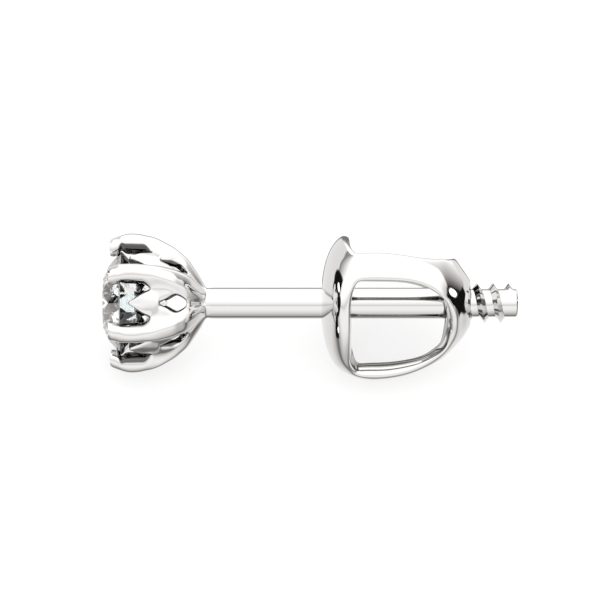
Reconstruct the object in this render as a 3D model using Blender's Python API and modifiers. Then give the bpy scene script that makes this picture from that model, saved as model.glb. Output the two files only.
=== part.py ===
# A stud earring with a screw back: a round brilliant in a six-prong lotus basket, soldered to a
# threaded post, and an egg-shaped back with three D-shaped windows that runs on the thread.
#
# Everything is modelled in millimetres round the post's axis, local +X pointing from the stone to
# the free end of the post, X = 0 where the basket meets the post, and is scaled to metres at the end.
# Angles round the post start at local -Y and grow towards +Z. The stud_pose empty then lays the whole
# earring down the way it comes to rest on a flat surface, with that surface at Z = 0.

import bpy
import bmesh
import math
from mathutils import Matrix, Vector

MM = 0.001

# Post and thread
POST_RADIUS = 0.50
POST_END = 10.05
SMOOTH_POST_END = 7.74
THREAD_ROOT = 0.45
THREAD_CREST = 0.645
THREAD_PITCH = 0.516
THREAD_START = 7.78
THREAD_TURNS = 3.64
THREAD_RUN_OUT = 0.125
THREAD_SIDES = 24
TOP_CREST = 8.73
RIDGE_WIDTH = 0.32
TIP_CHAMFER = 0.05

# Stone
STONE_RADIUS = 1.66
TABLE_RADIUS = 0.86
GIRDLE_THICKNESS = 0.04
CROWN_ANGLE = 34.7
PAVILION_ANGLE = 41.8
GIRDLE_X = -2.73
STAR_LENGTH = 0.5
LOWER_HALF_LENGTH = 0.77

# Basket: six prongs, with a leaf-shaped web between each two
PRONGS = 6

# One row for each section of the basket, from the post to the tip of the web's leaf.
# x: place on the axis; web, prong: outer radii; bowl: inner radius of the web;
# edge: half width of the hole or of the leaf; foot, shoulder: half widths of the prong.
BASKET_COLUMNS = ("x", "web", "prong", "bowl", "edge", "foot", "shoulder")
BASKET_ROWS = [
    (0.00, 0.503, 0.503, 0.00, 0.03, 0.20, 0.11),
    (-0.16, 0.610, 0.790, 0.00, 0.03, 0.26, 0.15),
    (-0.39, 0.920, 1.145, 0.42, 0.05, 0.38, 0.21),
    (-0.60, 1.180, 1.430, 0.84, 0.11, 0.42, 0.23),
    (-0.79, 1.340, 1.600, 1.05, 0.255, 0.385, 0.23),
    (-0.98, 1.480, 1.755, 1.21, 0.31, 0.38, 0.23),
    (-1.22, 1.590, 1.900, 1.32, 0.175, 0.375, 0.23),
    (-1.44, 1.660, 2.020, 1.40, 0.05, 0.37, 0.23),
    (-1.60, 1.695, 2.090, 1.44, 0.25, 0.37, 0.22),
    (-1.76, 1.715, 2.145, 1.46, 0.475, 0.385, 0.21),
    (-1.94, 1.730, 2.185, 1.47, 0.36, 0.30, 0.20),
    (-2.13, 1.740, 2.225, 1.475, 0.23, 0.29, 0.19),
    (-2.31, 1.740, 2.240, 1.475, 0.11, 0.29, 0.19),
]
LEAF_TIP = (-2.47, 1.73, 1.48)
HOLE_FIRST_ROW = 3
HOLE_LAST_ROW = 7
VALLEY_ROW = 9

# The free part of a prong above the valleys. x, outer and inner radius.
PRONG_COLUMNS = ("x", "outer", "inner")
PRONG_ROWS = [
    (-1.94, 2.185, 1.560),
    (-2.14, 2.228, 1.570),
    (-2.42, 2.245, 1.575),
    (-2.61, 2.220, 1.610),
    (-2.73, 2.185, 1.695),
    (-2.86, 2.140, 1.525),
    (-3.08, 2.030, 1.530),
]
PRONG_HALF_WIDTH = 0.29

# Screw back, placed by its front face where the photograph has it behind the head. The tables are
# for half of one third: angles run from the middle of a window (0) to the middle of a strut (60).
BACK_FRONT = 3.74
BACK_STRUTS = 3
BACK_LEVELS = 1
BACK_BORE = 0.675
BACK_FRONT_ANGLES = (0.0, 20.0, 35.0, 46.5, 53.5, 60.0)
BACK_REAR_ANGLES = (0.0, 12.0, 24.0, 36.0, 48.0, 60.0)
# Turned sections: place behind the front face, radius
BACK_FRONT_CAP = [(0.00, 0.73), (0.05, 1.06), (0.14, 1.42), (0.32, 1.83), (0.55, 2.11)]
BACK_REAR_CAP = [(4.46, 1.20), (4.64, 0.95), (4.77, 0.73)]
BACK_FRONT_BORE = [(0.03, BACK_BORE), (0.90, BACK_BORE), (0.94, 0.76), (0.94, 1.35)]
BACK_REAR_BORE = [(3.98, 0.78), (4.03, BACK_BORE), (4.75, BACK_BORE)]
# Rows across the window's ends: place, radius, angle
BACK_FRONT_RIM = [(0.71, 2.180, 0), (0.71, 2.180, 20), (0.80, 2.255, 35), (1.03, 2.35, 46.5),
                  (0.93, 2.33, 53.5), (0.93, 2.33, 60)]
BACK_FRONT_INNER_RIM = [(0.89, 1.98, 0), (0.89, 1.98, 20), (0.94, 1.99, 37), (1.12, 1.96, 52),
                        (1.06, 1.93, 56.5), (1.05, 1.92, 60)]
BACK_REAR_RIM = [(4.26, 1.44, 0), (4.25, 1.45, 10), (4.17, 1.54, 21.5), (3.98, 1.70, 32),
                 (4.02, 1.67, 46), (4.02, 1.67, 60)]
BACK_REAR_INNER_RIM = [(3.99, 1.06, 0), (3.98, 1.07, 12), (3.92, 1.13, 28), (3.83, 1.28, 52),
                       (3.86, 1.23, 56), (3.87, 1.21, 60)]
# Rows along the strut: place, angle of its outer and of its inner edge, outer and inner radius
BACK_STRUT_ROWS = [
    (1.42, 48.0, 55.0, 2.460, 1.93),
    (2.06, 48.0, 55.0, 2.450, 1.92),
    (2.74, 48.0, 55.0, 2.320, 1.83),
    (3.29, 45.5, 53.5, 2.115, 1.68),
    (3.65, 40.5, 51.5, 1.930, 1.44),
]
# How far the wall of a window swells between its two rims
WINDOW_SWELL = 0.07

# How the earring lies, on one prong and the rim of the back's window: roll about the post, then pitch
ROLL = 46.49
PITCH = 0.12


def on_axis(x, radius, angle):
    """A point at a radius and an angle in degrees round the post, from -Y towards +Z."""
    turn = math.radians(angle)
    return Vector((x, -radius * math.cos(turn), radius * math.sin(turn)))


def material(name, colour, roughness, metallic, ior=1.45, transmission=0.0):
    finish = bpy.data.materials.new(name)
    finish.use_nodes = True
    shader = finish.node_tree.nodes["Principled BSDF"]
    shader.inputs["Base Color"].default_value = (*colour, 1.0)
    shader.inputs["Roughness"].default_value = roughness
    shader.inputs["Metallic"].default_value = metallic
    shader.inputs["IOR"].default_value = ior
    shader.inputs["Transmission Weight"].default_value = transmission
    finish.diffuse_color = (*colour, 1.0)
    return finish


def add_object(name, bm, collection):
    mesh = bpy.data.meshes.new(name)
    bm.to_mesh(mesh)
    bm.free()
    piece = bpy.data.objects.new(name, mesh)
    collection.objects.link(piece)
    return piece


def evaluated_mesh(piece):
    bpy.context.view_layer.update()
    graph = bpy.context.evaluated_depsgraph_get()
    return bpy.data.meshes.new_from_object(piece.evaluated_get(graph))


def turn_round(bm, copies):
    """Mirror a half sector about the plane of angle 0, then repeat the sector round the axis."""
    half = bm.verts[:] + bm.edges[:] + bm.faces[:]
    copy = bmesh.ops.duplicate(bm, geom=half)["geom"]
    mirrored = [item for item in copy if isinstance(item, bmesh.types.BMVert)]
    bmesh.ops.scale(bm, vec=(1, 1, -1), verts=mirrored)
    bmesh.ops.reverse_faces(bm, faces=[item for item in copy if isinstance(item, bmesh.types.BMFace)])
    sector = bm.verts[:] + bm.edges[:] + bm.faces[:]
    for index in range(1, copies):
        copy = bmesh.ops.duplicate(bm, geom=sector)["geom"]
        turned = [item for item in copy if isinstance(item, bmesh.types.BMVert)]
        spin = Matrix.Rotation(math.tau * index / copies, 3, "X")
        bmesh.ops.rotate(bm, cent=(0, 0, 0), matrix=spin, verts=turned)
    bmesh.ops.remove_doubles(bm, verts=bm.verts, dist=0.0005)


def close_rims(bm):
    """Cap what is still open, and turn every face outwards."""
    bmesh.ops.holes_fill(bm, edges=[edge for edge in bm.edges if edge.is_boundary], sides=0)
    bmesh.ops.recalc_face_normals(bm, faces=bm.faces)
    bmesh.ops.triangulate(bm, faces=[face for face in bm.faces if len(face.verts) > 4])


def smooth_through_points(piece, levels):
    """Subdivide the cage, moved so that the smooth surface passes through the cage's own points."""
    wanted = [vertex.co.copy() for vertex in piece.data.vertices]
    smooth = piece.modifiers.new("smooth", "SUBSURF")
    smooth.levels = levels
    smooth.render_levels = levels
    for _ in range(4):
        reached = evaluated_mesh(piece)
        for vertex, target in zip(piece.data.vertices, wanted):
            vertex.co += 0.8 * (target - reached.vertices[vertex.index].co)
        bpy.data.meshes.remove(reached)


def settle(piece, pose, finish):
    """Apply the modifiers, scale to metres, shade smooth and hang the piece on the pose."""
    mesh = evaluated_mesh(piece)
    piece.modifiers.clear()
    mesh.transform(Matrix.Scale(MM, 4))
    mesh.materials.clear()
    mesh.materials.append(finish)
    mesh.shade_smooth()
    mesh.set_sharp_from_angle(angle=math.radians(35))
    piece.data = mesh
    piece.parent = pose


def stand_on_floor(pose, pieces):
    """Move the pose so that the box round the pieces is centred on Z and stands on Z = 0."""
    bpy.context.view_layer.update()
    corners = [piece.matrix_world @ vertex.co for piece in pieces for vertex in piece.data.vertices]
    low = [min(corner[axis] for corner in corners) for axis in range(3)]
    high = [max(corner[axis] for corner in corners) for axis in range(3)]
    pose.location = (-0.5 * (low[0] + high[0]), -0.5 * (low[1] + high[1]), -low[2])


def quad(bm, *corners):
    unique = list(dict.fromkeys(corners))
    if len(unique) > 2:
        bm.faces.new(unique)


def basket_cage():
    """Half a sector of the basket: columns run from the web's middle to the prong's middle."""
    bm = bmesh.new()
    half_sector = 180.0 / PRONGS
    rows = [dict(zip(BASKET_COLUMNS, row)) for row in BASKET_ROWS]
    frees = [dict(zip(PRONG_COLUMNS, row)) for row in PRONG_ROWS]

    def aside(radius, width):
        return math.degrees(math.asin(min(0.95, width / radius)))

    def full_row(row, inner):
        """From the web's middle: its edge, the prong's foot and shoulder, the prong's middle."""
        flank = row["web"] + 0.15 * (row["prong"] - row["web"])
        top = row["web"] + 0.86 * (row["prong"] - row["web"])
        sections = [
            (row["web"], 0.0),
            (row["web"], aside(row["web"], row["edge"])),
            (flank, half_sector - aside(flank, row["foot"])),
            (top, half_sector - aside(top, row["shoulder"])),
            (row["prong"], half_sector),
        ]
        return [on_axis(row["x"], row["bowl"] if inner else radius, angle) for radius, angle in sections]

    outer = [[bm.verts.new(point) for point in full_row(row, inner=False)] for row in rows]
    inner = {}
    for number, row in enumerate(rows):
        if row["bowl"] > 0:
            inner[number] = [bm.verts.new(point) for point in full_row(row, inner=True)]
    tip_out = bm.verts.new(on_axis(LEAF_TIP[0], LEAF_TIP[1], 0))
    tip_in = bm.verts.new(on_axis(LEAF_TIP[0], LEAF_TIP[2], 0))

    # Free prong sections: three points on the outer side, three on the inner side
    free_out = []
    free_in = []
    for row in frees:
        depth = row["outer"] - row["inner"]
        side_out = row["outer"] - 0.36 * depth
        side_in = row["outer"] - 0.78 * depth
        free_out.append([
            bm.verts.new(on_axis(row["x"], side_out, half_sector - aside(side_out, PRONG_HALF_WIDTH))),
            bm.verts.new(on_axis(row["x"], row["outer"] - 0.10 * depth,
                                 half_sector - aside(row["outer"], 0.66 * PRONG_HALF_WIDTH))),
            bm.verts.new(on_axis(row["x"], row["outer"], half_sector)),
        ])
        free_in.append([
            bm.verts.new(on_axis(row["x"], side_in, half_sector - aside(side_in, 0.90 * PRONG_HALF_WIDTH))),
            bm.verts.new(on_axis(row["x"], row["inner"] + 0.02 * depth,
                                 half_sector - aside(row["inner"], 0.50 * PRONG_HALF_WIDTH))),
            bm.verts.new(on_axis(row["x"], row["inner"], half_sector)),
        ])

    # Walls below the valleys, with the hole left out
    for shell in (outer, inner):
        for number in range(VALLEY_ROW):
            if shell is inner and number not in inner:
                continue
            for column in range(4):
                in_hole = column == 0 and HOLE_FIRST_ROW <= number < HOLE_LAST_ROW
                if not in_hole:
                    low = shell[number]
                    high = shell[number + 1]
                    quad(bm, low[column], low[column + 1], high[column + 1], high[column])
    # The leaf
    for shell, tip in ((outer, tip_out), (inner, tip_in)):
        last = len(rows) - 1
        for number in range(VALLEY_ROW, last):
            quad(bm, shell[number][0], shell[number][1], shell[number + 1][1], shell[number + 1][0])
        quad(bm, shell[last][0], shell[last][1], tip)
    for number in range(VALLEY_ROW, len(rows) - 1):
        quad(bm, outer[number][1], inner[number][1], inner[number + 1][1], outer[number + 1][1])
    last = len(rows) - 1
    quad(bm, outer[last][1], inner[last][1], tip_in, tip_out)
    # The rim of the hole and the bottom of the valley
    for number in range(HOLE_FIRST_ROW, HOLE_LAST_ROW):
        quad(bm, outer[number][1], inner[number][1], inner[number + 1][1], outer[number + 1][1])
    for number in (HOLE_FIRST_ROW, HOLE_LAST_ROW):
        quad(bm, outer[number][0], outer[number][1], inner[number][1], inner[number][0])
    quad(bm, outer[VALLEY_ROW][1], inner[VALLEY_ROW][1], inner[VALLEY_ROW][2], outer[VALLEY_ROW][2])
    # The prong: root, length and tip
    for column in range(2):
        quad(bm, outer[VALLEY_ROW][column + 2], outer[VALLEY_ROW][column + 3],
             free_out[0][column + 1], free_out[0][column])
        quad(bm, inner[VALLEY_ROW][column + 2], inner[VALLEY_ROW][column + 3],
             free_in[0][column + 1], free_in[0][column])
        for number in range(len(frees) - 1):
            quad(bm, free_out[number][column], free_out[number][column + 1],
                 free_out[number + 1][column + 1], free_out[number + 1][column])
            quad(bm, free_in[number][column], free_in[number][column + 1],
                 free_in[number + 1][column + 1], free_in[number + 1][column])
        quad(bm, free_out[-1][column], free_out[-1][column + 1], free_in[-1][column + 1], free_in[-1][column])
    quad(bm, outer[VALLEY_ROW][2], inner[VALLEY_ROW][2], free_in[0][0], free_out[0][0])
    for number in range(len(frees) - 1):
        quad(bm, free_out[number][0], free_in[number][0], free_in[number + 1][0], free_out[number + 1][0])

    # The smooth post grows out of the first row
    below = outer[0]
    for x, radius in ((0.35, POST_RADIUS), (SMOOTH_POST_END - 0.08, POST_RADIUS),
                      (SMOOTH_POST_END, THREAD_ROOT - 0.01)):
        ring = []
        for vertex in outer[0]:
            angle = math.degrees(math.atan2(vertex.co.z, -vertex.co.y))
            ring.append(bm.verts.new(on_axis(x, radius, angle)))
        for column in range(4):
            quad(bm, below[column], below[column + 1], ring[column + 1], ring[column])
        below = ring
    turn_round(bm, PRONGS)
    close_rims(bm)
    return bm


def thread_rod():
    """The threaded end: rows of points that follow the helix, closed by a plain ring at each end."""
    bm = bmesh.new()
    flat = 0.06 * RIDGE_WIDTH
    ridge = [(0.0, 0.0), (0.5 * RIDGE_WIDTH - flat, 1.0), (0.5 * RIDGE_WIDTH + flat, 1.0), (RIDGE_WIDTH, 0.0)]
    last = round(THREAD_TURNS * THREAD_SIDES)

    first_angle = 90.0 + 360.0 * (TOP_CREST - 0.5 * RIDGE_WIDTH - THREAD_START) / THREAD_PITCH

    def angle_at(step):
        return first_angle - 360.0 * step / THREAD_SIDES

    def ring(x, radius, first_step):
        return [bm.verts.new(on_axis(x, radius, angle_at(first_step + side))) for side in range(THREAD_SIDES)]

    grid = []
    for step in range(last + 1):
        run_in = min(1.0, step / (0.5 * THREAD_SIDES))
        run_out = min(1.0, (last - step) / (THREAD_RUN_OUT * THREAD_SIDES))
        height = (THREAD_CREST - THREAD_ROOT) * min(run_in, run_out)
        x = THREAD_START + THREAD_PITCH * step / THREAD_SIDES
        grid.append([bm.verts.new(on_axis(x + offset, THREAD_ROOT + height * rise, angle_at(step)))
                     for offset, rise in ridge])
    for step in range(last):
        for column in range(len(ridge) - 1):
            quad(bm, grid[step][column], grid[step][column + 1], grid[step + 1][column + 1], grid[step + 1][column])
        if step + THREAD_SIDES < last:
            ahead = step + THREAD_SIDES
            quad(bm, grid[step][-1], grid[ahead][0], grid[ahead + 1][0], grid[step + 1][-1])

    # The ring inside the post, and the step where the ridge begins
    start = ring(SMOOTH_POST_END - 0.2, THREAD_ROOT, 0)
    bm.faces.new(start)
    for side in range(THREAD_SIDES - 1):
        quad(bm, start[side], grid[side][0], grid[side + 1][0], start[side + 1])
    bm.faces.new([start[-1], start[0]] + grid[0] + [grid[THREAD_SIDES][0], grid[THREAD_SIDES - 1][0]])

    # The plain end with its chamfer, and the step where the ridge dies out
    seam = last - THREAD_SIDES
    end = ring(POST_END - TIP_CHAMFER, THREAD_ROOT, seam)
    tip = ring(POST_END, THREAD_ROOT - TIP_CHAMFER, seam)
    bm.faces.new([grid[seam][-1], grid[seam + 1][-1], end[1], end[0]] + list(reversed(grid[last])))
    for side in range(1, THREAD_SIDES):
        quad(bm, grid[seam + side][-1], grid[seam + side + 1][-1], end[(side + 1) % THREAD_SIDES], end[side])
    for side in range(THREAD_SIDES):
        ahead = (side + 1) % THREAD_SIDES
        quad(bm, end[side], end[ahead], tip[ahead], tip[side])
    bm.faces.new(tip)
    close_rims(bm)
    return bm


def brilliant():
    """Round brilliant: table, stars, kites, upper halves, girdle, lower halves, mains and culet."""
    bm = bmesh.new()
    crown = math.tan(math.radians(CROWN_ANGLE))
    pavilion = math.tan(math.radians(PAVILION_ANGLE))
    half_girdle = 0.5 * GIRDLE_THICKNESS
    between = math.cos(math.pi / 8)
    table_x = GIRDLE_X - half_girdle - (STONE_RADIUS - TABLE_RADIUS) * crown
    table_edge = TABLE_RADIUS * between
    star_radius = table_edge + STAR_LENGTH * (STONE_RADIUS - table_edge)
    star_x = table_x + (star_radius * between - TABLE_RADIUS) * crown
    lower_radius = STONE_RADIUS * (1.0 - LOWER_HALF_LENGTH)
    culet_x = GIRDLE_X + half_girdle + STONE_RADIUS * pavilion
    lower_x = culet_x - lower_radius * between * pavilion
    for corner in range(8):
        main = 45.0 * corner + 22.5
        bm.verts.new(on_axis(table_x, TABLE_RADIUS, main))
        bm.verts.new(on_axis(star_x, star_radius, main + 22.5))
        bm.verts.new(on_axis(lower_x, lower_radius, main + 22.5))
        for girdle_angle in (main, main + 22.5):
            bm.verts.new(on_axis(GIRDLE_X - half_girdle, STONE_RADIUS, girdle_angle))
            bm.verts.new(on_axis(GIRDLE_X + half_girdle, STONE_RADIUS, girdle_angle))
    bm.verts.new((culet_x, 0, 0))
    bmesh.ops.convex_hull(bm, input=bm.verts)
    bmesh.ops.dissolve_limit(bm, angle_limit=math.radians(0.5), verts=bm.verts, edges=bm.edges)
    bmesh.ops.recalc_face_normals(bm, faces=bm.faces)
    return bm


def back_cage():
    """Half of a third of the screw back: columns run from a window's middle to a strut's middle."""
    bm = bmesh.new()

    def row(points):
        return [bm.verts.new(on_axis(BACK_FRONT + x, radius, angle)) for x, radius, angle in points]

    def rings(sections, angles):
        return [row([(x, radius, angle) for angle in angles]) for x, radius in sections]

    outside = rings(BACK_FRONT_CAP, BACK_FRONT_ANGLES) + [row(BACK_FRONT_RIM)]
    inside = rings(BACK_FRONT_BORE, BACK_FRONT_ANGLES) + [row(BACK_FRONT_INNER_RIM)]
    for x, outer_edge, inner_edge, outer, inner in BACK_STRUT_ROWS:
        outside.append(row([(x, outer, outer_edge), (x, outer, 0.55 * outer_edge + 27.0), (x, outer, 60.0)]))
        inside.append(row([(x, inner, inner_edge), (x, inner, 0.50 * inner_edge + 30.0), (x, inner, 60.0)]))
    outside += [row(BACK_REAR_RIM)] + rings(BACK_REAR_CAP, BACK_REAR_ANGLES)
    inside += [row(BACK_REAR_INNER_RIM)] + rings(BACK_REAR_BORE, BACK_REAR_ANGLES)

    for shell in (outside, inside):
        for low, high in zip(shell, shell[1:]):
            # A strut row has fewer points than a cap row, and meets its last ones
            count = min(len(low), len(high))
            for first, second, third, fourth in zip(low[-count:], low[-count + 1:], high[-count + 1:], high[-count:]):
                quad(bm, first, second, third, fourth)
    # The rims of the window: across the front, along the strut, across the rear
    front = len(BACK_FRONT_CAP)
    rear = front + 1 + len(BACK_STRUT_ROWS)
    shift = len(BACK_FRONT_BORE) - front
    rim = [(front, column) for column in range(4)]
    rim += [(number, 0) for number in range(front + 1, rear)]
    rim += [(rear, column) for column in (3, 2, 1, 0)]
    upper = [outside[number][column] for number, column in rim]
    lower = [inside[number + shift][column] for number, column in rim]
    middle = []
    for index, (high, low) in enumerate(zip(upper, lower)):
        along = upper[min(index + 1, len(rim) - 1)].co - upper[max(index - 1, 0)].co
        swell = along.cross(high.co - low.co).normalized() * WINDOW_SWELL
        if index in (0, len(rim) - 1):
            swell.z = 0.0
        middle.append(bm.verts.new((high.co + low.co) / 2 + swell))
    for edges in ((upper, middle), (middle, lower)):
        for index in range(len(rim) - 1):
            quad(bm, edges[0][index], edges[0][index + 1], edges[1][index + 1], edges[1][index])
    for end in (0, -1):
        for column in range(len(BACK_FRONT_ANGLES) - 1):
            quad(bm, outside[end][column], outside[end][column + 1], inside[end][column + 1], inside[end][column])
    turn_round(bm, BACK_STRUTS)
    bmesh.ops.rotate(bm, cent=(0, 0, 0), matrix=Matrix.Rotation(math.radians(30), 3, "X"), verts=bm.verts)
    bmesh.ops.recalc_face_normals(bm, faces=bm.faces)
    return bm


def build():
    for old in list(bpy.data.objects):
        bpy.data.objects.remove(old)
    parts = bpy.data.collections.new("stud_earring")
    cutters = bpy.data.collections.new("cutters")
    bpy.context.scene.collection.children.link(parts)
    bpy.context.scene.collection.children.link(cutters)

    pose = bpy.data.objects.new("stud_pose", None)
    pose.rotation_euler = (-math.radians(ROLL), math.radians(PITCH), 0)
    parts.objects.link(pose)

    white_gold = material("white_gold", (0.87, 0.865, 0.85), 0.06, 1.0)
    stone = material("stone", (0.95, 0.96, 0.97), 0.0, 0.0, ior=2.417, transmission=1.0)

    thread = add_object("thread", thread_rod(), cutters)
    thread.hide_render = True
    thread.display_type = "WIRE"

    setting = add_object("setting_and_post", basket_cage(), parts)
    join = setting.modifiers.new("thread", "BOOLEAN")
    join.operation = "UNION"
    join.object = thread
    settle(setting, pose, white_gold)

    gem = add_object("brilliant_stone", brilliant(), parts)
    settle(gem, pose, stone)
    gem.data.shade_flat()

    back = add_object("screw_back", back_cage(), parts)
    smooth_through_points(back, BACK_LEVELS)
    settle(back, pose, white_gold)
    bpy.data.objects.remove(thread)
    stand_on_floor(pose, (setting, gem, back))


build()
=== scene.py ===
import math

import bmesh
import bpy
from mathutils import Matrix, Vector


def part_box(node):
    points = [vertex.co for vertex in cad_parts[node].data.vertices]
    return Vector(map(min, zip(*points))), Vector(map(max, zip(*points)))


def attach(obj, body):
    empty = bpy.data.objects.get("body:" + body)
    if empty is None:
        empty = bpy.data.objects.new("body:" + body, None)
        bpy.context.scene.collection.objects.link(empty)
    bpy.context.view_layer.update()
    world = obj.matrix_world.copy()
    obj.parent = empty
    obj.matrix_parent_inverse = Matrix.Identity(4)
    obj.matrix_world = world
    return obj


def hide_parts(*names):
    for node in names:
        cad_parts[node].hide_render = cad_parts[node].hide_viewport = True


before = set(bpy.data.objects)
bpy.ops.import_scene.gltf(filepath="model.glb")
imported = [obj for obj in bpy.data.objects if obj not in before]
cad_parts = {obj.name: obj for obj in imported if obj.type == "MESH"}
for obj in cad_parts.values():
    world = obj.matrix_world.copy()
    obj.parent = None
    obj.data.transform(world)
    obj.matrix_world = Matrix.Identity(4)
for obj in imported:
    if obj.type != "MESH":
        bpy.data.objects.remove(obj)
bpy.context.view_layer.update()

# Everything is modelled in millimetres round the post, +X from the stone to the thread's end,
# angles round it from -Y towards +Z, then laid down as the earring rests and scaled to metres.
mm = 0.001
pose = {"roll": 46.49, "pitch": 0.12}
# Points of a cage that lie closer than this are one
weld = 0.0005


def onAxis(x, radius, angle):
    turn = math.radians(angle)
    return Vector((x, -radius * math.cos(turn), radius * math.sin(turn)))


# The angle that a width takes up at a radius
def aside(radius, width):
    return math.degrees(math.asin(min(0.95, width / radius)))


# A node socket that can be used in a sum
class Wire:
    def __init__(self, tree, socket):
        self.tree = tree
        self.socket = socket

    def math(self, operation, *others):
        return makeNode(self.tree, "ShaderNodeMath", {"operation": operation}, [self, *others])

    def __add__(self, other):
        return self.math("ADD", other)

    def __sub__(self, other):
        return self.math("SUBTRACT", other)

    def __mul__(self, other):
        return self.math("MULTIPLY", other)

    def __truediv__(self, other):
        return self.math("DIVIDE", other)

    def __radd__(self, other):
        return self.math("ADD", other)

    def __rmul__(self, other):
        return self.math("MULTIPLY", other)

    def __rsub__(self, other):
        return makeNode(self.tree, "ShaderNodeMath", {"operation": "SUBTRACT"}, [other, self])

    def least(self, other):
        return self.math("MINIMUM", other)

    def most(self, other):
        return self.math("MAXIMUM", other)

    # 0 at low, 1 at high and smooth between them
    def step(self, low, high):
        ramp = {"interpolation_type": "SMOOTHSTEP"}
        values = {"Value": self, "From Min": low, "From Max": high}
        return makeNode(self.tree, "ShaderNodeMapRange", ramp, values)


# A node, known by one of its outputs. Values are numbers or wires, by the name or the number of the input
def makeNode(tree, kind, settings=None, values=None, output=0):
    node = tree.nodes.new(kind)
    for name, value in (settings or {}).items():
        setattr(node, name, value)
    pairs = values.items() if isinstance(values, dict) else enumerate(values or [])
    for name, value in pairs:
        if isinstance(value, Wire):
            tree.links.new(value.socket, node.inputs[name])
        else:
            node.inputs[name].default_value = value
    return Wire(tree, node.outputs[output])


def link(tree, wire, node, name):
    tree.links.new(wire.socket, node.inputs[name])


def addPiece(name, bm):
    mesh = bpy.data.meshes.new(name)
    bm.to_mesh(mesh)
    bm.free()
    piece = bpy.data.objects.new(name, mesh)
    bpy.context.scene.collection.objects.link(piece)
    return piece


def evaluatedMesh(piece):
    bpy.context.view_layer.update()
    graph = bpy.context.evaluated_depsgraph_get()
    return bpy.data.meshes.new_from_object(piece.evaluated_get(graph))


def applyAll(piece):
    mesh = evaluatedMesh(piece)
    piece.modifiers.clear()
    piece.data = mesh


# Run a node tree on a piece and keep the result as its plain mesh
def runTree(piece, tree, values):
    modifier = piece.modifiers.new(tree.name, "NODES")
    modifier.node_group = tree
    for item in tree.interface.items_tree:
        if item.item_type == "SOCKET" and item.in_out == "INPUT" and item.name in values:
            modifier[item.identifier] = values[item.name]
    applyAll(piece)


def newTree(name, inputs):
    tree = bpy.data.node_groups.new(name, "GeometryNodeTree")
    tree.interface.new_socket("Geometry", in_out="INPUT", socket_type="NodeSocketGeometry")
    for label, kind in inputs:
        tree.interface.new_socket(label, in_out="INPUT", socket_type=kind)
    tree.interface.new_socket("Geometry", in_out="OUTPUT", socket_type="NodeSocketGeometry")
    entry = tree.nodes.new("NodeGroupInput")
    wires = {socket.name: Wire(tree, socket) for socket in entry.outputs if socket.name}
    return tree, wires


def endTree(tree, geometry):
    leave = tree.nodes.new("NodeGroupOutput")
    tree.links.new(geometry.socket, leave.inputs[0])


# Half a sector in, the whole round out: mirrored, then one copy for each prong or strut
def roundTheAxisTree():
    tree, given = newTree("roundTheAxis", [
        ("Copies", "NodeSocketInt"),
        ("Merge Distance", "NodeSocketFloat"),
        ("Material", "NodeSocketMaterial"),
    ])
    mirrored = makeNode(tree, "GeometryNodeTransform", None,
                        {"Geometry": given["Geometry"], "Scale": (1, 1, -1)})
    mirrored = makeNode(tree, "GeometryNodeFlipFaces", None, {"Mesh": mirrored})
    join = tree.nodes.new("GeometryNodeJoinGeometry")
    tree.links.new(mirrored.socket, join.inputs[0])
    tree.links.new(given["Geometry"].socket, join.inputs[0])
    sector = Wire(tree, join.outputs[0])
    points = makeNode(tree, "GeometryNodePoints", None, {"Count": given["Copies"]})
    angle = makeNode(tree, "GeometryNodeInputIndex") * math.tau / given["Copies"]
    turn = makeNode(tree, "ShaderNodeCombineXYZ", None, {"X": angle})
    copies = makeNode(tree, "GeometryNodeInstanceOnPoints", None,
                      {"Points": points, "Instance": sector, "Rotation": turn})
    whole = makeNode(tree, "GeometryNodeRealizeInstances", None, {"Geometry": copies})
    whole = makeNode(tree, "GeometryNodeMergeByDistance", None,
                     {"Geometry": whole, "Distance": given["Merge Distance"]})
    whole = makeNode(tree, "GeometryNodeSetMaterial", None,
                     {"Geometry": whole, "Material": given["Material"]})
    endTree(tree, whole)
    return tree


# The ridge's section: its foot and underside as shares of its height, and the shape of its crest
ridgeSection = {"foot": -0.15, "underside": -0.45, "flatTop": 1.04, "sharpness": 1.5, "spread": 1.2,
                "weld": 0.0002}


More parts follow.
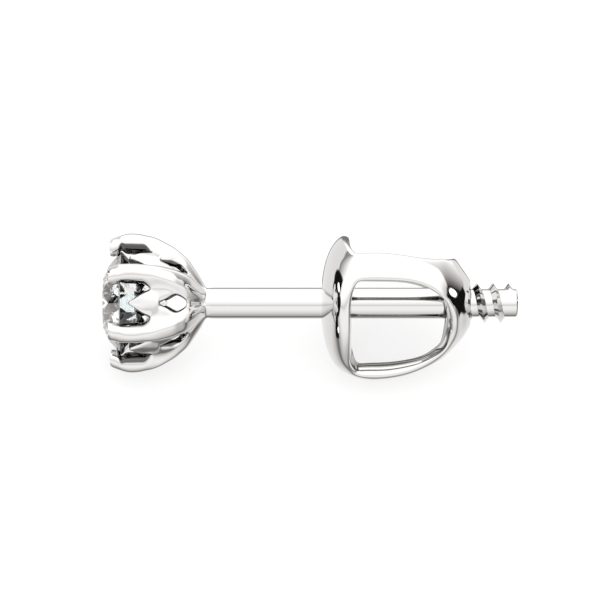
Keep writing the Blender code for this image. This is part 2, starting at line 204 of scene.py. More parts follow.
# The ridge of the thread: a closed strip that follows the helix, sunk a little into the rod
def helixRidgeTree():
    foot = ridgeSection["foot"]
    names = ("Start", "Pitch", "Turns", "First Angle", "Root", "Height", "Width", "Run In", "Run Out")
    tree, given = newTree("helixRidge", [(name, "NodeSocketFloat") for name in names] +
                          [("Steps", "NodeSocketInt"), ("Around", "NodeSocketInt"),
                           ("Material", "NodeSocketMaterial")])
    grid = makeNode(tree, "GeometryNodeMeshGrid", None, {
        "Size X": 1.0, "Size Y": 1.0, "Vertices X": given["Steps"], "Vertices Y": given["Around"]})
    place = makeNode(tree, "GeometryNodeInputPosition")
    split = tree.nodes.new("ShaderNodeSeparateXYZ")
    tree.links.new(place.socket, split.inputs[0])
    along = Wire(tree, split.outputs[0]) + 0.5
    across = Wire(tree, split.outputs[1]) + 0.5
    turns = along * given["Turns"]
    runOut = (given["Turns"] - turns) / given["Run Out"]
    fade = (turns / given["Run In"]).least(runOut).least(1.0).most(0.0)
    # The first half of the section is the ridge's two flanks, the second its underside
    flank = 1.0 - (across * 4.0 - 1.0).math("ABSOLUTE")
    above = across.math("LESS_THAN", 0.4999)
    bulge = (flank.most(0.0) * ridgeSection["flatTop"]).least(1.0).math("POWER", ridgeSection["sharpness"])
    crest = bulge * fade * (1.0 - foot) + foot
    rise = above * crest + (1.0 - above) * ridgeSection["underside"]
    upper = across * 2.0 - 0.5
    lower = 1.5 - across * 2.0
    offset = above * upper + (1.0 - above) * lower
    radius = given["Root"] + given["Height"] * rise
    angle = (given["First Angle"] - turns * 360.0) * (math.pi / 180.0)
    x = given["Start"] + given["Pitch"] * turns + offset * given["Width"] * ridgeSection["spread"]
    y = 0.0 - radius * angle.math("COSINE")
    z = radius * angle.math("SINE")
    spot = makeNode(tree, "ShaderNodeCombineXYZ", None, [x, y, z])
    ridge = makeNode(tree, "GeometryNodeSetPosition", None, {"Geometry": grid, "Position": spot})
    ridge = makeNode(tree, "GeometryNodeMergeByDistance", None,
                     {"Geometry": ridge, "Distance": ridgeSection["weld"]})
    ridge = makeNode(tree, "GeometryNodeSetMaterial", None,
                     {"Geometry": ridge, "Material": given["Material"]})
    endTree(tree, ridge)
    return tree


# Cap what is still open, and turn every face outwards
def closeRims(piece):
    bm = bmesh.new()
    bm.from_mesh(piece.data)
    bmesh.ops.holes_fill(bm, edges=[edge for edge in bm.edges if edge.is_boundary], sides=0)
    bmesh.ops.recalc_face_normals(bm, faces=bm.faces)
    bm.to_mesh(piece.data)
    bm.free()


smoothing = {"rounds": 6, "share": 0.7, "leash": 0.45, "crease": 0.4}


# Subdivide a cage, moved so that the smooth surface passes through the cage's own points. What lies past
# keepBehind stays where it is, and edges before creaseAt are creased
def smoothThroughPoints(piece, levels, keepBehind=None, creaseAt=None):
    points = piece.data.vertices
    wanted = [vertex.co.copy() for vertex in points]
    reach = [1e9] * len(points)
    for edge in piece.data.edges:
        first, second = edge.vertices
        length = (wanted[first] - wanted[second]).length
        reach[first] = min(reach[first], length)
        reach[second] = min(reach[second], length)
    if creaseAt is not None:
        crease = piece.data.attributes.new("crease_edge", "FLOAT", "EDGE")
        for edge in piece.data.edges:
            if max(wanted[index].x for index in edge.vertices) < creaseAt:
                crease.data[edge.index].value = smoothing["crease"]
    smooth = piece.modifiers.new("smooth", "SUBSURF")
    smooth.levels = levels
    smooth.render_levels = levels
    for _ in range(smoothing["rounds"]):
        reached = evaluatedMesh(piece)
        for vertex, target, room in zip(points, wanted, reach):
            if keepBehind is not None and target.x > keepBehind:
                continue
            vertex.co += smoothing["share"] * (target - reached.vertices[vertex.index].co)
            away = vertex.co - target
            leash = smoothing["leash"] * room
            if away.length > leash:
                vertex.co = target + away * (leash / away.length)
        bpy.data.meshes.remove(reached)
    applyAll(piece)


# How the earring lies: rolled round its post, and tipped a little
def layTurn():
    pitch = Matrix.Rotation(math.radians(pose["pitch"]), 4, "Y")
    return pitch @ Matrix.Rotation(-math.radians(pose["roll"]), 4, "X")


# Turn a piece as the earring lies, scale it to metres and shade it
def layDown(piece, sharpAngle):
    piece.data.transform(Matrix.Scale(mm, 4) @ layTurn())
    piece.data.transform(Matrix.Translation(pose["shift"]))
    piece.data.shade_smooth()
    piece.data.set_sharp_from_angle(angle=math.radians(sharpAngle))


# A face, or a triangle where two corners are the same, or nothing
def quad(bm, *corners):
    unique = list(dict.fromkeys(corners))
    if len(unique) > 2:
        bm.faces.new(unique)


# Stone
stone = {"radius": 1.66, "tableRadius": 0.86, "girdle": 0.04, "girdlePlace": -2.73, "mains": 8,
         "crownAngle": 34.7, "pavilionAngle": 41.8, "starLength": 0.5, "lowerHalf": 0.77, "sharpAngle": 30}


# Table, stars, mains and halves are the faces of the hull round their corners
def brilliant():
    bm = bmesh.new()
    crown = math.tan(math.radians(stone["crownAngle"]))
    pavilion = math.tan(math.radians(stone["pavilionAngle"]))
    half = 0.5 * stone["girdle"]
    sector = 360.0 / stone["mains"]
    between = math.cos(math.pi / stone["mains"])
    radius = stone["radius"]
    tableX = stone["girdlePlace"] - half - (radius - stone["tableRadius"]) * crown
    tableEdge = stone["tableRadius"] * between
    starRadius = tableEdge + stone["starLength"] * (radius - tableEdge)
    starX = tableX + (starRadius * between - stone["tableRadius"]) * crown
    lowerRadius = radius * (1.0 - stone["lowerHalf"])
    culetX = stone["girdlePlace"] + half + radius * pavilion
    lowerX = culetX - lowerRadius * between * pavilion
    for corner in range(stone["mains"]):
        main = sector * (corner + 0.5)
        halfTurn = main + 0.5 * sector
        bm.verts.new(onAxis(tableX, stone["tableRadius"], main))
        bm.verts.new(onAxis(starX, starRadius, halfTurn))
        bm.verts.new(onAxis(lowerX, lowerRadius, halfTurn))
        for girdleAngle in (main, halfTurn):
            bm.verts.new(onAxis(stone["girdlePlace"] - half, radius, girdleAngle))
            bm.verts.new(onAxis(stone["girdlePlace"] + half, radius, girdleAngle))
    bm.verts.new((culetX, 0, 0))
    bmesh.ops.convex_hull(bm, input=bm.verts)
    bmesh.ops.dissolve_limit(bm, angle_limit=math.radians(0.5), verts=bm.verts, edges=bm.edges)
    bmesh.ops.recalc_face_normals(bm, faces=bm.faces)
    # The girdle's faces are the ones that look sideways
    girdle = bm.faces.layers.float.new("girdle")
    for face in bm.faces:
        face[girdle] = 1.0 if abs(face.normal.x) < 0.2 else 0.0
    return bm


# Basket
basket = {
    "prongs": 6, "levels": 2, "sharpAngle": 40, "prongHalfWidth": 0.29,
    "creaseReach": 0.02, "shankFrom": 0.06,
    "leafTip": (-2.47, 1.73, 1.48), "holeRows": (3, 7), "valleyRow": 9,
    "footShare": 0.15, "shoulderShare": 0.86,
    "postRadius": 0.50, "smoothEnd": 7.74, "threadRoot": 0.45, "postEnd": 10.05, "chamfer": 0.05,
}
halfSector = 180.0 / basket["prongs"]
# Sections from the post to the web's leaf, in millimetres
basketColumns = ("x", "web", "prong", "bowl", "edge", "foot", "shoulder")
basketRows = [
    (0.00, 0.503, 0.503, 0.00, 0.03, 0.20, 0.11),
    (-0.16, 0.610, 0.790, 0.00, 0.03, 0.26, 0.15),
    (-0.39, 0.920, 1.145, 0.42, 0.05, 0.38, 0.21),
    (-0.60, 1.180, 1.430, 0.84, 0.11, 0.42, 0.23),
    (-0.79, 1.340, 1.600, 1.05, 0.255, 0.385, 0.23),
    (-0.98, 1.480, 1.755, 1.21, 0.31, 0.38, 0.23),
    (-1.22, 1.590, 1.900, 1.32, 0.175, 0.375, 0.23),
    (-1.44, 1.660, 2.020, 1.40, 0.05, 0.37, 0.23),
    (-1.60, 1.695, 2.090, 1.44, 0.25, 0.37, 0.22),
    (-1.76, 1.715, 2.145, 1.46, 0.475, 0.385, 0.21),
    (-1.94, 1.730, 2.185, 1.47, 0.36, 0.30, 0.20),
    (-2.13, 1.740, 2.225, 1.475, 0.23, 0.29, 0.19),
    (-2.31, 1.740, 2.240, 1.475, 0.11, 0.29, 0.19),
]
# The free part of a prong above the valleys
prongColumns = ("x", "outer", "inner")
prongRows = [
    (-1.94, 2.185, 1.560),
    (-2.14, 2.228, 1.570),
    (-2.42, 2.245, 1.575),
    (-2.61, 2.220, 1.610),
    (-2.73, 2.185, 1.695),
    (-2.86, 2.140, 1.525),
    (-3.08, 2.030, 1.530),
]
# Across a free prong, as shares of its depth below the outer face and of its half width
prongOutside = ((0.36, 1.0), (0.10, 0.66), (0.0, 0.0))
prongInside = ((0.78, 0.90), (0.98, 0.50), (1.0, 0.0))


# The columns run from the web's middle to the prong's middle
def addBasketRow(bm, row, inner):
    height = row["prong"] - row["web"]
    foot = row["web"] + basket["footShare"] * height
    shoulder = row["web"] + basket["shoulderShare"] * height
    sections = [
        (row["web"], 0.0),
        (row["web"], aside(row["web"], row["edge"])),
        (foot, halfSector - aside(foot, row["foot"])),
        (shoulder, halfSector - aside(shoulder, row["shoulder"])),
        (row["prong"], halfSector),
    ]
    return [bm.verts.new(onAxis(row["x"], row["bowl"] if inner else radius, angle))
            for radius, angle in sections]


def addProngRow(bm, row, section):
    depth = row["outer"] - row["inner"]
    points = [(row["outer"] - share * depth, spread * basket["prongHalfWidth"]) for share, spread in section]
    return [bm.verts.new(onAxis(row["x"], radius, halfSector - aside(radius, width)))
            for radius, width in points]


# The post's outline from the basket on: a plain shank, a short neck, the thread's core and a chamfered end
def postProfile():
    post = basket["postRadius"]
    root = basket["threadRoot"]
    neck = basket["smoothEnd"]
    end = basket["postEnd"]
    chamfer = basket["chamfer"]
    return [
        (0.12, post), (0.35, post), (1.2, post), (4.0, post), (7.0, post), (7.55, post),
        (neck - 0.10, post), (neck - 0.03, post - 0.005),
        (neck, root + 0.01), (neck + 0.02, root), (neck + 0.3, root), (8.9, root), (end - 0.3, root),
        (end - chamfer - 0.02, root), (end - chamfer, root - 0.004),
        (end - 0.01, root - chamfer + 0.005), (end, root - chamfer - 0.01), (end, 0.5 * root),
    ]


# Half a sector of the basket, with its share of the post
def basketCage():
    bm = bmesh.new()
    # Where painted shade darkens the gold
    paintedShade = bm.verts.layers.float.new("paintedShade")
    rows = [dict(zip(basketColumns, row)) for row in basketRows]
    frees = [dict(zip(prongColumns, row)) for row in prongRows]
    tipPlace, tipOuter, tipInner = basket["leafTip"]

    outer = [addBasketRow(bm, row, inner=False) for row in rows]
    inner = {number: addBasketRow(bm, row, inner=True)
             for number, row in enumerate(rows) if row["bowl"] > 0}
    tipOut = bm.verts.new(onAxis(tipPlace, tipOuter, 0))
    tipIn = bm.verts.new(onAxis(tipPlace, tipInner, 0))
    freeOut = []
    freeIn = []
    for row in frees:
        freeOut.append(addProngRow(bm, row, prongOutside))
        freeIn.append(addProngRow(bm, row, prongInside))

    first, last = basket["holeRows"]
    valley = basket["valleyRow"]
    top = len(rows) - 1
    for shell, tip in ((outer, tipOut), (inner, tipIn)):
        for number in range(valley):
            for column in range(4):
                inHole = column == 0 and first <= number < last
                if (shell is outer or number in inner) and not inHole:
                    low = shell[number]
                    high = shell[number + 1]
                    quad(bm, low[column], low[column + 1], high[column + 1], high[column])
        for number in range(valley, top):
            quad(bm, shell[number][0], shell[number][1], shell[number + 1][1], shell[number + 1][0])
        quad(bm, shell[top][0], shell[top][1], tip)
    # Rims of the hole, the leaf and the valley
    for number in list(range(first, last)) + list(range(valley, top)):
        quad(bm, outer[number][1], inner[number][1], inner[number + 1][1], outer[number + 1][1])
    for number in (first, last):
        quad(bm, outer[number][0], outer[number][1], inner[number][1], inner[number][0])
    quad(bm, outer[top][1], inner[top][1], tipIn, tipOut)
    quad(bm, outer[valley][1], inner[valley][1], inner[valley][2], outer[valley][2])
    # Prong: root, length and tip
    for column in range(2):
        for shell, free in ((outer, freeOut), (inner, freeIn)):
            root = shell[valley]
            quad(bm, root[column + 2], root[column + 3], free[0][column + 1], free[0][column])
            for low, high in zip(free, free[1:]):
                quad(bm, low[column], low[column + 1], high[column + 1], high[column])
        outTip = freeOut[-1]
        inTip = freeIn[-1]
        quad(bm, outTip[column], outTip[column + 1], inTip[column + 1], inTip[column])
    quad(bm, outer[valley][2], inner[valley][2], freeIn[0][0], freeOut[0][0])
    for number in range(len(frees) - 1):
        quad(bm, freeOut[number][0], freeIn[number][0], freeIn[number + 1][0], freeOut[number + 1][0])

    # Painted shade on the inside as far as the girdle; the inner faces of the tips, which lie on the stone,
    # get none
    for vertices in [tipIn], *inner.values(), *freeIn[:-2]:
        for vertex in vertices:
            vertex[paintedShade] = 1.0

    # The post grows out of the first row
    below = outer[0]
    for x, radius in postProfile():
        ring = [bm.verts.new(onAxis(x, radius, halfSector * column / 4)) for column in range(5)]
        for column in range(4):
            quad(bm, below[column], below[column + 1], ring[column + 1], ring[column])
        below = ring
    return bm


# Thread on the post
thread = {"start": 7.78, "pitch": 0.516, "turns": 3.64, "crest": 0.645, "width": 0.32, "topCrest": 8.73,
          "runIn": 0.5, "runOut": 0.125, "stepsPerTurn": 72, "around": 17}


def makeRidge(finish):
    ridge = addPiece("threadRidge", bmesh.new())
    crestOffset = thread["topCrest"] - thread["start"] - 0.5 * thread["width"]
    runTree(ridge, helixRidgeTree(), {
        "Start": thread["start"] + 0.5 * thread["width"], "Pitch": thread["pitch"], "Turns": thread["turns"],
        "First Angle": 90.0 + 360.0 * crestOffset / thread["pitch"], "Root": basket["threadRoot"],
        "Height": thread["crest"] - basket["threadRoot"], "Width": thread["width"], "Run In": thread["runIn"],
        "Run Out": thread["runOut"], "Steps": round(thread["turns"] * thread["stepsPerTurn"]) + 1,
        "Around": thread["around"], "Material": finish,
    })
    closeRims(ridge)
    return ridge


# Screw back. The tables are for half of one third: angles run from a window's middle to a strut's middle
back = {"front": 3.74, "struts": 3, "levels": 3, "sharpAngle": 60, "bore": 0.675, "firstWindow": -30.0,
        "windowSwell": 0.07, "strutRounding": 0.07}
backFrontAngles = (0.0, 20.0, 35.0, 46.5, 53.5, 60.0)
backRearAngles = (0.0, 12.0, 24.0, 36.0, 48.0, 60.0)
# Caps and bore: place and radius. Rims of the windows: place, radius and angle
backFrontCap = [(0.00, 0.73), (0.05, 1.06), (0.14, 1.42), (0.32, 1.83), (0.55, 2.11)]
backRearCap = [(4.46, 1.20), (4.64, 0.95), (4.77, 0.73)]
backFrontBore = [(0.03, back["bore"]), (0.90, back["bore"]), (0.94, 0.76), (0.94, 1.35)]
backRearBore = [(3.98, 0.78), (4.03, back["bore"]), (4.75, back["bore"])]
backFrontRim = [(0.71, 2.180, 0), (0.71, 2.180, 20), (0.80, 2.255, 35), (1.03, 2.35, 46.5),
                (0.93, 2.33, 53.5), (0.93, 2.33, 60)]
backFrontInnerRim = [(0.89, 1.98, 0), (0.89, 1.98, 20), (0.94, 1.99, 37), (1.12, 1.96, 52),
                     (1.06, 1.93, 56.5), (1.05, 1.92, 60)]
backRearRim = [(4.26, 1.44, 0), (4.25, 1.45, 10), (4.17, 1.54, 21.5), (3.98, 1.70, 32),
               (4.02, 1.67, 46), (4.02, 1.67, 60)]
backRearInnerRim = [(3.99, 1.06, 0), (3.98, 1.07, 12), (3.92, 1.13, 28), (3.83, 1.28, 52),
                    (3.86, 1.23, 56), (3.87, 1.21, 60)]
# Along the strut: place, angle of its outer and of its inner edge, outer and inner radius
backStrutRows = [
    (1.42, 48.0, 55.0, 2.460, 1.93),
    (2.06, 48.0, 55.0, 2.450, 1.92),
    (2.74, 48.0, 55.0, 2.320, 1.83),
    (3.29, 45.5, 53.5, 2.115, 1.68),
    (3.65, 40.5, 51.5, 1.930, 1.44),
]


def backCage():
    bm = bmesh.new()
    # Where painted shade darkens the gold
    paintedShade = bm.verts.layers.float.new("paintedShade")

    def row(points):
        return [bm.verts.new(onAxis(back["front"] + x, radius, angle)) for x, radius, angle in points]

    def rings(sections, angles):
        return [row([(x, radius, angle) for angle in angles]) for x, radius in sections]

    outside = rings(backFrontCap, backFrontAngles) + [row(backFrontRim)]
    inside = rings(backFrontBore, backFrontAngles) + [row(backFrontInnerRim)]
    # A strut is full from nearly halfway between its edge and its middle
    middle = 180.0 / back["struts"]
    for x, outerEdge, innerEdge, outer, inner in backStrutRows:
        edge = outer - back["strutRounding"]
        outerFull = 0.55 * outerEdge + 0.45 * middle
        innerHalf = 0.50 * innerEdge + 0.50 * middle
        outside.append(row([(x, edge, outerEdge), (x, outer, outerFull), (x, outer, middle)]))
        inside.append(row([(x, inner, innerEdge), (x, inner, innerHalf), (x, inner, middle)]))
    outside += [row(backRearRim)] + rings(backRearCap, backRearAngles)
    inside += [row(backRearInnerRim)] + rings(backRearBore, backRearAngles)
    for shell in (outside, inside):
        for low, high in zip(shell, shell[1:]):
            # A strut row has fewer points than a cap row, and meets its last ones
            count = min(len(low), len(high))
            low = low[-count:]
            high = high[-count:]
            for column in range(count - 1):
                quad(bm, low[column], low[column + 1], high[column + 1], high[column])
    # The rims of the window: across the front, along the strut, across the rear
    front = len(backFrontCap)
    rear = front + 1 + len(backStrutRows)
    shift = len(backFrontBore) - front
    rim = [(front, column) for column in range(4)]
    rim += [(number, 0) for number in range(front + 1, rear)]
    rim += [(rear, column) for column in (3, 2, 1, 0)]
    upper = [outside[number][column] for number, column in rim]
    lower = [inside[number + shift][column] for number, column in rim]
    swollen = []
    for index, (high, low) in enumerate(zip(upper, lower)):
        along = upper[min(index + 1, len(rim) - 1)].co - upper[max(index - 1, 0)].co
        swell = along.cross(high.co - low.co).normalized() * back["windowSwell"]
        # Both ends of the rim lie in the window's middle plane and stay there
        if index in (0, len(rim) - 1):
            swell.z = 0.0
        swollen.append(bm.verts.new((high.co + low.co) / 2 + swell))
    # The bore and the insides of the struts get painted shade
    for line in inside:
        for vertex in line:
            vertex[paintedShade] = 1.0
    for first, second in ((upper, swollen), (swollen, lower)):
        for index in range(len(rim) - 1):
            quad(bm, first[index], first[index + 1], second[index + 1], second[index])
    # Where the caps meet the bore
    for high, low in ((outside[0], inside[0]), (outside[-1], inside[-1])):
        for column in range(len(high) - 1):
            quad(bm, high[column], high[column + 1], low[column + 1], low[column])
    return bm


# White gold: mirror polish with a breath of haze and hair-fine polishing marks, with painted shade inside: a
# darker base colour on the inner surfaces stands in for the shadow in the hollows
gold = {"colour": (0.76, 0.756, 0.747, 1.0), "paintedShadeTint": (1.0, 0.985, 0.96), "paintedShadeEdge": (0.10, 0.32),
        "roughness": 0.035, "haze": 0.05, "hazeEdge": (0.35, 0.75), "hazeScale": 900.0,
        "marks": 0.015, "markEdge": (0.62, 0.75), "markDepth": 0.000002, "markHaze": 0.04,
        "markScale": (900, 60000, 60000)}


def polishedGold(name, markTurn, paintedShadeLevel):
    finish = bpy.data.materials.new(name)
    finish.use_nodes = True
    tree = finish.node_tree
    shader = tree.nodes["Principled BSDF"]
    shader.inputs["Metallic"].default_value = 1.0
    paintedShadeColour = (*(paintedShadeLevel * share for share in gold["paintedShadeTint"]), 1.0)
    # Painted shade: the base colour darkens where the mesh marks the inner surfaces
    paintedShade = makeNode(tree, "ShaderNodeAttribute", {"attribute_name": "paintedShade"}, output=2)
    inside = paintedShade.step(*gold["paintedShadeEdge"])
    colour = makeNode(tree, "ShaderNodeMix", {"data_type": "RGBA"},
                      {"Factor": inside, "A": gold["colour"], "B": paintedShadeColour}, output=2)
    link(tree, colour, shader, "Base Color")
    place = makeNode(tree, "ShaderNodeTexCoord", output=3)
    cloud = makeNode(tree, "ShaderNodeTexNoise", None,
                     {"Vector": place, "Scale": gold["hazeScale"], "Detail": 3.0})
    turned = makeNode(tree, "ShaderNodeMapping", None,
                      {"Vector": place, "Rotation": (markTurn, 0, 0.3), "Scale": gold["markScale"]})
    marks = makeNode(tree, "ShaderNodeTexNoise", None, {"Vector": turned, "Scale": 1.0, "Detail": 2.0})
    hair = marks.step(*gold["markEdge"])
    rough = cloud.step(*gold["hazeEdge"]) * gold["haze"] + gold["roughness"] + hair * gold["markHaze"]
    link(tree, rough, shader, "Roughness")
    bump = makeNode(tree, "ShaderNodeBump", None,
                    {"Strength": gold["marks"], "Distance": gold["markDepth"], "Height": hair})
    link(tree, bump, shader, "Normal")
    return finish


# The stone: a clear brilliant with a frosted girdle
clear = {"ior": 2.417, "coat": 0.8, "coatIor": 2.4, "frost": 0.6, "cloud": 0.004, "cloudScale": 500.0,
         "cold": (0.97, 0.98, 1.0, 1), "warm": (1.0, 1.0, 0.99, 1)}


def clearStone():
    finish = bpy.data.materials.new("clearStone")
    finish.use_nodes = True
    tree = finish.node_tree
    shader = tree.nodes["Principled BSDF"]
    shader.inputs["Transmission Weight"].default_value = 1.0
    shader.inputs["IOR"].default_value = clear["ior"]
    shader.inputs["Coat IOR"].default_value = clear["coatIor"]
    shader.inputs["Coat Weight"].default_value = clear["coat"]
    place = makeNode(tree, "ShaderNodeTexCoord", output=3)
    tint = makeNode(tree, "ShaderNodeTexNoise", None, {"Vector": place, "Scale": clear["cloudScale"]})
    colour = makeNode(tree, "ShaderNodeMix", {"data_type": "RGBA"},
                      {"Factor": tint, "A": clear["cold"], "B": clear["warm"]}, output=2)
    link(tree, colour, shader, "Base Color")
    girdle = makeNode(tree, "ShaderNodeAttribute", {"attribute_name": "girdle"}, output=2)
    link(tree, tint * clear["cloud"] + girdle * clear["frost"], shader, "Roughness")
    return finish


# The stone's box in the frame says where the origin of the millimetres lies
def placeOnFrame():
    probe = addPiece("probe", brilliant())
    pose["shift"] = Vector((0, 0, 0))
    layDown(probe, stone["sharpAngle"])
    points = [vertex.co for vertex in probe.data.vertices]
    low = Vector([min(point[axis] for point in points) for axis in range(3)])
    high = Vector([max(point[axis] for point in points) for axis in range(3)])
    cadLow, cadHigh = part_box("brilliant_stone")
    pose["shift"] = (cadLow + cadHigh - low - high) / 2
    bpy.data.objects.remove(probe)


placeOnFrame()
print("frame found, shift", [round(value, 6) for value in pose["shift"]])

roundTree = roundTheAxisTree()
# Painted shade inside: darker on the stud than on the back
studGold = polishedGold("studGold", markTurn=0.2, paintedShadeLevel=0.12)
backGold = polishedGold("backGold", markTurn=1.1, paintedShadeLevel=0.30)

setting = addPiece("basketAndPost", basketCage())
runTree(setting, roundTree, {"Copies": basket["prongs"], "Merge Distance": weld, "Material": studGold})
closeRims(setting)
prongEnd = prongRows[-1][0]
smoothThroughPoints(setting, basket["levels"], keepBehind=basket["shankFrom"],
                    creaseAt=prongEnd + basket["creaseReach"])
ridge = makeRidge(studGold)
union = setting.modifiers.new("thread", "BOOLEAN")
union.operation = "UNION"
union.object = ridge
applyAll(setting)
bpy.data.objects.remove(ridge)
layDown(setting, basket["sharpAngle"])
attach(setting, "stud")
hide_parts("setting_and_post")
print("basket and post", len(setting.data.polygons))

gem = addPiece("brilliant", brilliant())
gem.data.materials.append(clearStone())
layDown(gem, stone["sharpAngle"])
gem.data.shade_flat()
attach(gem, "stud")
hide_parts("brilliant_stone")
print("stone", len(gem.data.polygons))

nut = addPiece("screwBack", backCage())
runTree(nut, roundTree, {"Copies": back["struts"], "Merge Distance": weld, "Material": backGold})
nut.data.transform(Matrix.Rotation(-math.radians(back["firstWindow"]), 4, "X"))
closeRims(nut)
smoothThroughPoints(nut, back["levels"])
layDown(nut, back["sharpAngle"])
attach(nut, "back")
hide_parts("screw_back")
print("screw back", len(nut.data.polygons))

# Floor
stage = {"floorSize": 1.2, "floorColour": (0.32, 0.32, 0.319, 1), "floorGlow": 0.72,
         "roughness": 0.8, "grain": 0.1, "grainScale": 400.0}


def makeFloor():
    bm = bmesh.new()
    bmesh.ops.create_grid(bm, x_segments=2, y_segments=2, size=stage["floorSize"])
    floor = addPiece("floor", bm)
    finish = bpy.data.materials.new("paleFloor")
    finish.use_nodes = True
    tree = finish.node_tree
    shader = tree.nodes["Principled BSDF"]
    shader.inputs["Base Color"].default_value = stage["floorColour"]
    shader.inputs["Specular IOR Level"].default_value = 0.0
    shader.inputs["Emission Color"].default_value = (1, 1, 1, 1)
    shader.inputs["Emission Strength"].default_value = stage["floorGlow"]
    place = makeNode(tree, "ShaderNodeTexCoord", output=3)
    grain = makeNode(tree, "ShaderNodeTexNoise", None, {"Vector": place, "Scale": stage["grainScale"]})
    link(tree, grain * stage["grain"] + stage["roughness"], shader, "Roughness")
    floor.data.materials.append(finish)
    # What the metal and the stone mirror from below is drawn by the tent
    floor.visible_glossy = False
    floor.visible_transmission = False


makeFloor()
print("floor laid")

# Camera: square to the post, above the floor by the angle that the earring is rolled by
view = {"lens": 250.0, "frameWidth": 19.355, "middle": (3.032, 0.0, 0.103)}


def makeCamera():
    data = bpy.data.cameras.new("camera")
    data.lens = view["lens"]
    data.clip_start = 0.001
    data.clip_end = 10.0
    camera = bpy.data.objects.new("camera", data)
    bpy.context.scene.collection.objects.link(camera)
    turn = layTurn()
    away = view["frameWidth"] * data.lens / data.sensor_width
    spot = turn @ (Vector(view["middle"]) + Vector((0, -away, 0)))
    stand = Matrix.Rotation(math.radians(90), 4, "X")
    camera.matrix_world = Matrix.Translation(spot * mm + pose["shift"]) @ turn @ stand
    bpy.context.scene.camera = camera


makeCamera()
print("camera set")

# Light: a white tent with a dimmer lower side, black flags to the left and the right, and small lamps.
# Directions are angles in degrees: "around" the post, 0 towards the camera and 90 up in the picture,
# and "off" its threaded end. A pair of angles is where a soft edge starts and where it ends
tent = {
    "level": 1.38, "background": 1.0, "warmth": (1.0, 0.957, 0.925, 1.0),
    # What lies behind the earring, and where it begins near the stone and near the thread
    "behindLevel": 0.68, "behindLeft": 105.0, "behindRight": 148.0, "behindTurns": (118.0, 95.0),
    "behindEdge": 2.0, "horizonAround": (122.0, 150.0), "horizonDim": 0.75,
    "horizonRight": (68.0, 78.0), "horizonLeft": (104.0, 96.0),
    # The bright side dims towards both ends
    "endsDim": 0.45, "endsOff": (34.0, 14.0), "rightFade": (16.0, 61.0), "rightFadeAround": (90.0, 96.0),
    "leftFadeOff": (115.0, 118.0), "leftFadeAround": (95.0, 103.0), "leftFadeSlope": 1.43, "leftDim": 0.80,
    "flagLevel": 0.006, "rightFlagEdge": (2.0, -2.0), "leftFlagEdge": (-1.5, 1.5), "lampEdge": 0.0006,
}
# Level round the post
tentBelt = [
    (-180, 0.68), (-160, 0.66), (-147, 0.52), (-138, 0.38), (-130, 0.20), (-122, 0.13), (-114, 0.22),
    (-108, 0.40), (-96, 0.45), (-84, 0.58), (-72, 0.68), (-60, 0.76), (-48, 0.82), (-31, 0.83), (-24, 0.79),
    (-18, 0.60), (-14, 0.64), (-9, 0.77), (-1, 0.86), (6, 0.91), (14, 1.0), (180, 1.0),
]
# How far off the threaded end the right flag reaches: each step adds its reach between two angles around
rightFlagSteps = [(-12.0, 3.0, 13.0), (60.0, 95.0, 7.0), (138.0, 142.0, 10.0), (-150.0, -153.0, 28.0)]
# The left flag starts this far off the threaded end, and nearer to it in a stretch above and one below
leftFlag = {"start": 166.0, "above": (44.0, 54.0), "aboveReach": 18.0,
            "below": (-100.0, -104.0), "belowEnd": (-138.0, -134.0), "belowReach": 20.0}
# Lamps: around, off, half width, level
tentLamps = [(116, 13.5, 4.5, 1.6), (70, 163, 4.5, 1.6), (-105, 155, 3.0, 1.6)]
# Through the stone the tent breaks up into light and dark patches with a little fire
stoneSky = {"scale": 1.2, "place": 3.0, "edge": (0.46, 0.54), "dark": 0.20, "light": 2.0,
            "fire": 0.10, "fireScale": 9.6, "firePlace": 6.0, "vivid": 4.0}


def alongAxis(tree, direction, axis):
    return makeNode(tree, "ShaderNodeVectorMath", {"operation": "DOT_PRODUCT"}, [direction, axis], output=1)


def beltLevel(tree, around):
    belt = tree.nodes.new("ShaderNodeValToRGB")
    link(tree, around / 360.0 + 0.5, belt, "Fac")
    for number, (angle, grey) in enumerate(tentBelt):
        place = angle / 360.0 + 0.5
        stop = belt.color_ramp.elements[0] if number == 0 else belt.color_ramp.elements.new(place)
        stop.position = place
        stop.color = (grey, grey, grey, 1)
    # The ramp's own last stop is left over
    belt.color_ramp.elements.remove(belt.color_ramp.elements[-1])
    return Wire(tree, belt.outputs[0])


# The bright side dims towards both ends of the piece, and stops at the edge of what is behind it
def dimmedLevel(level, around, off):
    fadeFrom, fadeTo = tent["rightFade"]
    rightDim = 1.0 - ((off - fadeFrom) / (fadeTo - fadeFrom)).most(0.0).least(1.0)
    level = level * (1.0 - rightDim * around.step(*tent["rightFadeAround"]))
    level = level * (1.0 - tent["endsDim"] * off.step(*tent["endsOff"]))
    fadeStart, fadeEnd = tent["leftFadeAround"]
    fadeStart = fadeStart - (off - tent["leftFadeOff"][0]).most(0.0) * tent["leftFadeSlope"]
    leftDim = ((around - fadeStart) / (fadeEnd - fadeStart)).most(0.0).least(1.0)
    level = level * (1.0 - leftDim * off.step(*tent["leftFadeOff"]) * tent["leftDim"])
    widening = tent["behindRight"] - tent["behindLeft"]
    edge = tent["behindLeft"] + widening * off.step(*tent["behindTurns"])
    beyond = (around - edge).step(-tent["behindEdge"], tent["behindEdge"])
    level = level * (1.0 - beyond) + beyond * tent["behindLevel"]
    strip = around.step(*tent["horizonAround"]) * off.step(*tent["horizonRight"])
    return level * (1.0 - tent["horizonDim"] * (strip * off.step(*tent["horizonLeft"])))


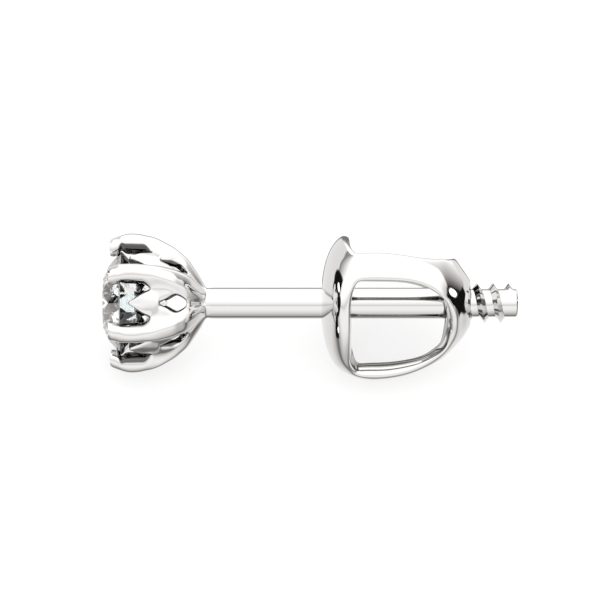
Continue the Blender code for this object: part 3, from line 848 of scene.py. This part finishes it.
def flaggedLevel(level, around, off):
    rightEdge = sum(reach * around.step(low, high) for low, high, reach in rightFlagSteps)
    rightFlag = (off - rightEdge).step(*tent["rightFlagEdge"])
    above = leftFlag["aboveReach"] * around.step(*leftFlag["above"])
    below = leftFlag["belowReach"] * around.step(*leftFlag["below"]) * around.step(*leftFlag["belowEnd"])
    flag = rightFlag.most((off - (leftFlag["start"] - above - below)).step(*tent["leftFlagEdge"]))
    return level * (1.0 - flag) + flag * tent["flagLevel"]


def lampLevels(tree, direction, turn):
    for lampAround, lampOff, halfWidth, lampLevel in tentLamps:
        tilt = math.radians(lampOff)
        spot = onAxis(math.cos(tilt), math.sin(tilt), lampAround)
        near = alongAxis(tree, direction, turn @ spot)
        rim = math.cos(math.radians(halfWidth))
        yield near.step(rim - tent["lampEdge"], rim + tent["lampEdge"]) * lampLevel


def skyThroughStone(tree, direction):
    patches = makeNode(tree, "ShaderNodeTexNoise", {"noise_dimensions": "4D"},
                       {"Vector": direction, "W": stoneSky["place"], "Scale": stoneSky["scale"],
                        "Detail": 0.0})
    colours = makeNode(tree, "ShaderNodeTexNoise", {"noise_dimensions": "4D"},
                       {"Vector": direction, "W": stoneSky["firePlace"], "Scale": stoneSky["fireScale"],
                        "Detail": 1.0}, output=1)
    # The noise's colours lie round middle grey, and are spread to both sides of it
    gain = stoneSky["vivid"]
    shift = 0.5 - 0.5 * gain
    vivid = makeNode(tree, "ShaderNodeVectorMath", {"operation": "MULTIPLY_ADD"},
                     [colours, (gain, gain, gain), (shift, shift, shift)])
    fire = makeNode(tree, "ShaderNodeMix", {"data_type": "RGBA", "clamp_result": True},
                    {"Factor": stoneSky["fire"], "A": (1, 1, 1, 1), "B": vivid}, output=2)
    sparkle = patches.step(*stoneSky["edge"]) * (stoneSky["light"] - stoneSky["dark"]) + stoneSky["dark"]
    return makeNode(tree, "ShaderNodeBackground", None, {"Color": fire, "Strength": sparkle})


def makeTent():
    world = bpy.data.worlds.new("tent")
    bpy.context.scene.world = world
    world.use_nodes = True
    tree = world.node_tree
    tree.nodes.clear()
    direction = makeNode(tree, "ShaderNodeTexCoord", output=0)
    turn = layTurn()
    right = alongAxis(tree, direction, turn @ Vector((1, 0, 0)))
    ahead = alongAxis(tree, direction, turn @ Vector((0, -1, 0)))
    up = alongAxis(tree, direction, turn @ Vector((0, 0, 1)))
    around = up.math("ARCTAN2", ahead) * math.degrees(1.0)
    off = right.math("ARCCOSINE") * math.degrees(1.0)

    level = dimmedLevel(beltLevel(tree, around), around, off)
    level = flaggedLevel(level, around, off)
    for lamp in lampLevels(tree, direction, turn):
        level = level + lamp
    warm = makeNode(tree, "ShaderNodeMix", {"data_type": "RGBA"},
                    {"Factor": 1.0 - level.least(1.0), "A": (1, 1, 1, 1), "B": tent["warmth"]}, output=2)
    lit = makeNode(tree, "ShaderNodeBackground", None, {"Color": warm, "Strength": level * tent["level"]})

    # The stone sees its own sky, and the camera sees plain white behind the floor
    plain = makeNode(tree, "ShaderNodeBackground", None,
                     {"Color": (1, 1, 1, 1), "Strength": tent["background"]})
    seen = makeNode(tree, "ShaderNodeLightPath", output=0)
    refracted = makeNode(tree, "ShaderNodeLightPath", output=6)
    mixed = makeNode(tree, "ShaderNodeMixShader", None, [refracted, lit, skyThroughStone(tree, direction)])
    mixed = makeNode(tree, "ShaderNodeMixShader", None, [seen, mixed, plain])
    leave = tree.nodes.new("ShaderNodeOutputWorld")
    link(tree, mixed, leave, "Surface")
    bpy.context.scene.view_settings.view_transform = "Standard"


makeTent()
print("tent lit")
